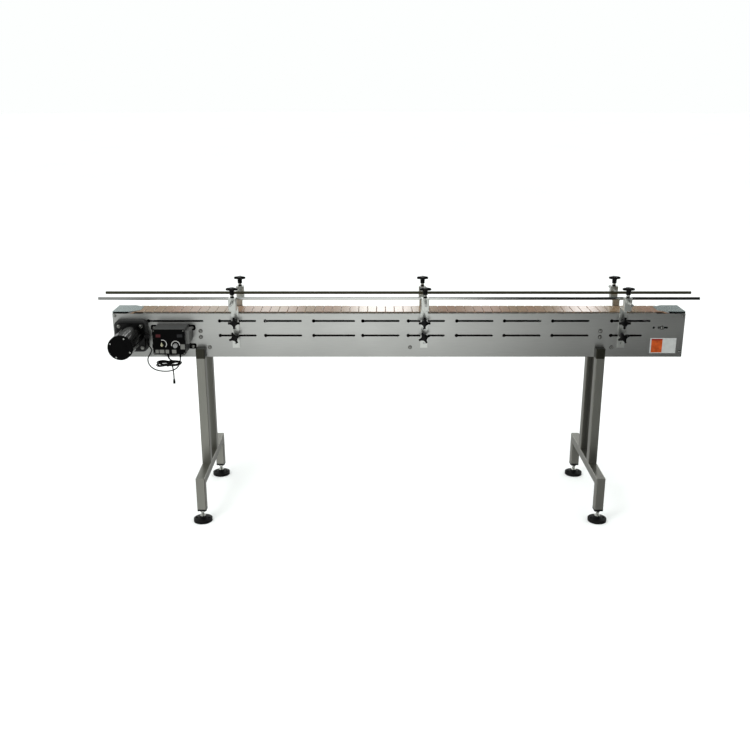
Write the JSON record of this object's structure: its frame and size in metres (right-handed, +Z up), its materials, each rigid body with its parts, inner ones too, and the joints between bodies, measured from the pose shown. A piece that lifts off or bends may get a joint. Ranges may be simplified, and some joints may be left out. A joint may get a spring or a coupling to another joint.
{
  "type": "slat chain conveyor",
  "caption": "Straight table-top slat chain conveyor on two leg frames with adjustable guide rails, a side gearmotor and a speed control box.",
  "frame": {"origin": "middle of the conveyor's length and width, on the floor under the feet", "axes": "+X along the conveyor away from the drive end, +Y across it away from the motor and control side, +Z up"},
  "size_m": [2.547, 0.581, 1.001],
  "materials": {
    "brushed_stainless": "brushed",
    "cover_sheet": "brushed",
    "wear_plastic": "satin",
    "bearing_steel": "ground",
    "leg_steel": "satin",
    "black_plastic": "satin",
    "bolt_steel": "bright",
    "grey_casting": "satin paint",
    "black_enamel": "gloss paint",
    "box_black": "satin paint",
    "label_film": "printed film, blank",
    "cord_sheath": "satin",
    "chain_plastic": "moulded, semi gloss",
    "sprocket_plastic": "machined",
    "roller_plastic": "machined",
    "rail_steel": "polished",
    "bracket_steel": "satin",
    "knob_black": "moulded",
    "foot_black": "moulded",
    "dial_grey": "moulded",
    "switch_metal": "bright"
  },
  "bodies": {
    "frame": {"front_side_plate": "brushed_stainless", "rear_side_plate": "brushed_stainless", "left_end_cover": "cover_sheet", "right_end_cover": "cover_sheet", "cross_members": "brushed_stainless", "wear_strips": "wear_plastic", "shaft_bearings": "bearing_steel", "tail_shaft": "bearing_steel", "left_leg_frame": "leg_steel", "right_leg_frame": "leg_steel", "leg_tube_plugs": "black_plastic", "frame_bolts": "bolt_steel", "gearbox_case": "grey_casting", "gearbox_cover": "grey_casting", "motor_housing": "black_enamel", "motor_end_cap": "black_enamel", "control_box": "box_black", "control_box_cover": "box_black", "blank_labels": "label_film", "cord_glands": "black_plastic", "motor_lead": "cord_sheath", "supply_lead": "cord_sheath", "supply_hank": "cord_sheath", "hank_tie": "black_plastic", "supply_plug": "black_plastic"},
    "belt_top": {"belt_top_run": "chain_plastic"},
    "belt_return": {"belt_return_run": "chain_plastic"},
    "drive": {"drive_shaft": "bearing_steel", "drive_sprocket": "sprocket_plastic", "belt_drive_wrap": "chain_plastic", "output_gear": "bearing_steel"},
    "tail": {"tail_sprocket": "sprocket_plastic", "belt_tail_wrap": "chain_plastic"},
    "intermediate": {"intermediate_gear": "bearing_steel"},
    "rotor": {"motor_rotor": "bearing_steel"},
    "roller_left": {"return_roller_left": "roller_plastic"},
    "roller_centre": {"return_roller_centre": "roller_plastic"},
    "roller_right": {"return_roller_right": "roller_plastic"},
    "speed_dial": {"speed_dial": "dial_grey"},
    "mode_switch": {"mode_switch": "switch_metal"},
    "front_guide": {"front_guide_brackets": "bracket_steel", "front_clamp_blocks": "bracket_steel", "front_side_knobs": "knob_black"},
    "front_rail": {"front_guide_rail": "rail_steel", "front_cross_rods": "rail_steel"},
    "front_left_top_knob": {"front_left_top_knob": "knob_black"},
    "front_centre_top_knob": {"front_centre_top_knob": "knob_black"},
    "front_right_top_knob": {"front_right_top_knob": "knob_black"},
    "rear_guide": {"rear_guide_brackets": "bracket_steel", "rear_clamp_blocks": "bracket_steel", "rear_side_knobs": "knob_black"},
    "rear_rail": {"rear_guide_rail": "rail_steel", "rear_cross_rods": "rail_steel"},
    "rear_left_top_knob": {"rear_left_top_knob": "knob_black"},
    "rear_centre_top_knob": {"rear_centre_top_knob": "knob_black"},
    "rear_right_top_knob": {"rear_right_top_knob": "knob_black"},
    "left_front_foot": {"left_front_foot": "foot_black"},
    "left_rear_foot": {"left_rear_foot": "foot_black"},
    "right_front_foot": {"right_front_foot": "foot_black"},
    "right_rear_foot": {"right_rear_foot": "foot_black"}
  },
  "joints": [
    {"name": "belt_travel", "type": "slide", "parent": "frame", "child": "belt_top", "axis": [-1, 0, 0], "range_m": [-0.012, 0.012], "deforming": ["belt_drive_wrap", "belt_tail_wrap"]},
    {"name": "belt_return_travel", "type": "slide", "parent": "frame", "child": "belt_return", "axis": [1, 0, 0], "range_m": [-0.012, 0.012]},
    {"name": "drive_shaft_turn", "type": "hinge", "parent": "frame", "child": "drive", "pos_m": [-1.12395, 0, 0.81515], "axis": [0, -1, 0], "continuous": true},
    {"name": "tail_sprocket_turn", "type": "hinge", "parent": "frame", "child": "tail", "pos_m": [1.12395, 0, 0.81515], "axis": [0, -1, 0], "continuous": true},
    {"name": "intermediate_gear_turn", "type": "hinge", "parent": "frame", "child": "intermediate", "pos_m": [-1.16352, -0.08, 0.80931], "axis": [0, -1, 0], "continuous": true},
    {"name": "motor_rotor_turn", "type": "hinge", "parent": "frame", "child": "rotor", "pos_m": [-1.1345, -0.19, 0.788], "axis": [0, -1, 0], "continuous": true},
    {"name": "return_roller_left_turn", "type": "hinge", "parent": "frame", "child": "roller_left", "pos_m": [-0.81201, 0, 0.72781], "axis": [0, 1, 0], "continuous": true},
    {"name": "return_roller_centre_turn", "type": "hinge", "parent": "frame", "child": "roller_centre", "pos_m": [0.0486, 0, 0.72781], "axis": [0, 1, 0], "continuous": true},
    {"name": "return_roller_right_turn", "type": "hinge", "parent": "frame", "child": "roller_right", "pos_m": [0.91421, 0, 0.72781], "axis": [0, 1, 0], "continuous": true},
    {"name": "front_guide_slide", "type": "slide", "parent": "frame", "child": "front_guide", "axis": [1, 0, 0], "range_m": [-0.015, 0.08]},
    {"name": "front_rail_slide", "type": "slide", "parent": "front_guide", "child": "front_rail", "axis": [0, -1, 0], "range_m": [-0.045, 0.03]},
    {"name": "front_left_top_knob_turn", "type": "hinge", "parent": "front_guide", "child": "front_left_top_knob", "pos_m": [-0.69741, -0.118, 0.98], "axis": [0, 0, 1], "continuous": true},
    {"name": "front_centre_top_knob_turn", "type": "hinge", "parent": "front_guide", "child": "front_centre_top_knob", "pos_m": [0.10751, -0.118, 0.98], "axis": [0, 0, 1], "continuous": true},
    {"name": "front_right_top_knob_turn", "type": "hinge", "parent": "front_guide", "child": "front_right_top_knob", "pos_m": [0.9529, -0.118, 0.98], "axis": [0, 0, 1], "continuous": true},
    {"name": "rear_guide_slide", "type": "slide", "parent": "frame", "child": "rear_guide", "axis": [1, 0, 0], "range_m": [-0.015, 0.08]},
    {"name": "rear_rail_slide", "type": "slide", "parent": "rear_guide", "child": "rear_rail", "axis": [0, 1, 0], "range_m": [-0.045, 0.03]},
    {"name": "rear_left_top_knob_turn", "type": "hinge", "parent": "rear_guide", "child": "rear_left_top_knob", "pos_m": [-0.69741, 0.118, 0.98], "axis": [0, 0, 1], "continuous": true},
    {"name": "rear_centre_top_knob_turn", "type": "hinge", "parent": "rear_guide", "child": "rear_centre_top_knob", "pos_m": [0.10751, 0.118, 0.98], "axis": [0, 0, 1], "continuous": true},
    {"name": "rear_right_top_knob_turn", "type": "hinge", "parent": "rear_guide", "child": "rear_right_top_knob", "pos_m": [0.9529, 0.118, 0.98], "axis": [0, 0, 1], "continuous": true},
    {"name": "left_front_foot_levelling", "type": "slide", "parent": "frame", "child": "left_front_foot", "axis": [0, 0, 1], "range_m": [-0.03, 0]},
    {"name": "left_rear_foot_levelling", "type": "slide", "parent": "frame", "child": "left_rear_foot", "axis": [0, 0, 1], "range_m": [-0.03, 0]},
    {"name": "right_front_foot_levelling", "type": "slide", "parent": "frame", "child": "right_front_foot", "axis": [0, 0, 1], "range_m": [-0.03, 0]},
    {"name": "right_rear_foot_levelling", "type": "slide", "parent": "frame", "child": "right_rear_foot", "axis": [0, 0, 1], "range_m": [-0.03, 0]},
    {"name": "speed_dial_turn", "type": "hinge", "parent": "frame", "child": "speed_dial", "pos_m": [-0.93596, -0.16445, 0.76496], "axis": [0, 1, 0], "range_deg": [-135, 135]},
    {"name": "mode_switch_turn", "type": "hinge", "parent": "frame", "child": "mode_switch", "pos_m": [-0.9905, -0.16445, 0.76928], "axis": [0, 1, 0], "range_deg": [-45, 45]}
  ],
  "couplings": [
    {"joint": "belt_return_travel", "follows": "belt_travel", "ratio": 1},
    {"joint": "drive_shaft_turn", "follows": "belt_travel", "rad_per_m": 16.221},
    {"joint": "tail_sprocket_turn", "follows": "belt_travel", "rad_per_m": 16.221},
    {"joint": "intermediate_gear_turn", "follows": "belt_travel", "rad_per_m": -57.933},
    {"joint": "motor_rotor_turn", "follows": "belt_travel", "rad_per_m": 289.67},
    {"joint": "return_roller_left_turn", "follows": "belt_travel", "rad_per_m": 52.632},
    {"joint": "return_roller_centre_turn", "follows": "belt_travel", "rad_per_m": 52.632},
    {"joint": "return_roller_right_turn", "follows": "belt_travel", "rad_per_m": 52.632}
  ]
}
